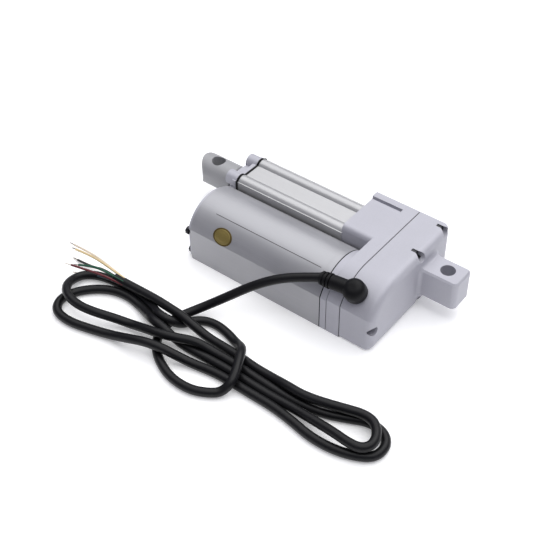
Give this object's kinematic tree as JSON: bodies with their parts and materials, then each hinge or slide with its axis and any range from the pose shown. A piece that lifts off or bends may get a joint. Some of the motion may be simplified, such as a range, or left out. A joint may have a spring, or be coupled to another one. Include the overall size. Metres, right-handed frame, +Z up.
{
  "type": "linear actuator",
  "caption": "Parallel-motor electric linear actuator with a screw-driven rod, eye mounts at both ends and a coiled control cable.",
  "frame": {"origin": "centre of the rear eye, midway along its hole", "axes": "+X is the way the rod extends, +Y is towards the motor, +Z is up along both eye holes"},
  "size_m": [0.2211, 0.153, 0.0401],
  "materials": {
    "die_cast": "fine matt silver paint on die casting",
    "die_cast_bright": "satin machined casting",
    "casing_aluminium": "satin silver extrusion",
    "tube_aluminium": "brushed anodised extrusion",
    "grey_gasket": "matt",
    "black_rubber": "matt",
    "black_plastic": "matt",
    "black_steel": "black oxide",
    "zinc_steel": "zinc plated",
    "bearing_steel": "ground",
    "rod_steel": "polished stainless tube",
    "gear_steel": "sintered steel",
    "gear_brass": "machined",
    "pale_plastic": "natural acetal",
    "ferrite": "pressed ferrite",
    "circuit_board": "solder mask",
    "copper_wire": "enamelled copper",
    "cable_jacket": "soft matt jacket",
    "wire_white": "insulation",
    "wire_yellow": "insulation",
    "wire_black": "insulation",
    "wire_green": "insulation",
    "wire_blue": "insulation",
    "wire_red": "insulation"
  },
  "bodies": {
    "housing": {"rear_cover": "die_cast", "gearbox_gasket": "grey_gasket", "front_housing": "die_cast", "motor_adapter": "die_cast", "adapter_gasket": "grey_gasket", "casing_gasket": "black_rubber", "motor_casing": "casing_aluminium", "motor_end_cap": "die_cast", "end_cap_screws": "black_steel", "gearbox_screws": "black_steel", "outer_tube": "tube_aluminium", "tube_gasket": "black_rubber", "front_cap": "die_cast", "tie_screws": "zinc_steel", "guide_bush": "pale_plastic", "wiper_seal": "black_rubber", "front_bearing_outer": "bearing_steel", "front_bearing_balls": "bearing_steel", "bearing_retainer": "zinc_steel", "rear_bearing_outer": "bearing_steel", "rear_bearing_balls": "bearing_steel", "idler_axle": "bearing_steel", "motor_can": "zinc_steel", "motor_magnets": "ferrite", "motor_front_plate": "zinc_steel", "motor_rear_bell": "black_plastic", "brushes": "ferrite", "hall_board": "circuit_board", "control_board": "circuit_board", "end_stop_board": "circuit_board", "elbow_flange": "black_rubber", "elbow_body": "black_rubber", "strain_relief": "black_rubber", "cable_lead": "cable_jacket", "cable_hank": "cable_jacket", "wire_white": "wire_white", "wire_yellow": "wire_yellow", "wire_black": "wire_black", "wire_green": "wire_green", "wire_blue": "wire_blue", "wire_red": "wire_red"},
    "rod": {"rod_tube": "rod_steel", "rod_end": "die_cast_bright", "rod_end_pin": "bearing_steel", "lead_nut": "pale_plastic", "nut_magnet": "ferrite"},
    "screw": {"lead_screw": "bearing_steel", "screw_gear": "gear_steel", "gear_clip": "zinc_steel", "front_bearing_inner": "bearing_steel", "rear_bearing_inner": "bearing_steel"},
    "idler": {"idler_large_gear": "gear_steel", "idler_small_gear": "gear_steel"},
    "rotor": {"motor_shaft": "bearing_steel", "armature_core": "gear_steel", "armature_windings": "copper_wire", "commutator": "copper_wire", "motor_pinion": "gear_brass", "encoder_magnet": "ferrite"}
  },
  "joints": [
    {"name": "rod_extend", "type": "slide", "parent": "housing", "child": "rod", "axis": [1, 0, 0], "range_m": [0, 0.05]},
    {"name": "screw_turn", "type": "hinge", "parent": "housing", "child": "screw", "pos_m": [0.05, 0, 0], "axis": [1, 0, 0], "range_deg": [0, 6001]},
    {"name": "idler_turn", "type": "hinge", "parent": "housing", "child": "idler", "pos_m": [0.035, 0.01798, 0.00089], "axis": [1, 0, 0], "range_deg": [-18546.45, 0]},
    {"name": "motor_turn", "type": "hinge", "parent": "housing", "child": "rotor", "pos_m": [0.07, 0.034, -0.0015], "axis": [1, 0, 0], "range_deg": [0, 92728.27]}
  ],
  "couplings": [
    {"joint": "screw_turn", "follows": "rod_extend", "rad_per_m": 2094.4},
    {"joint": "idler_turn", "follows": "rod_extend", "rad_per_m": -6473.6},
    {"joint": "motor_turn", "follows": "rod_extend", "rad_per_m": 32368}
  ]
}
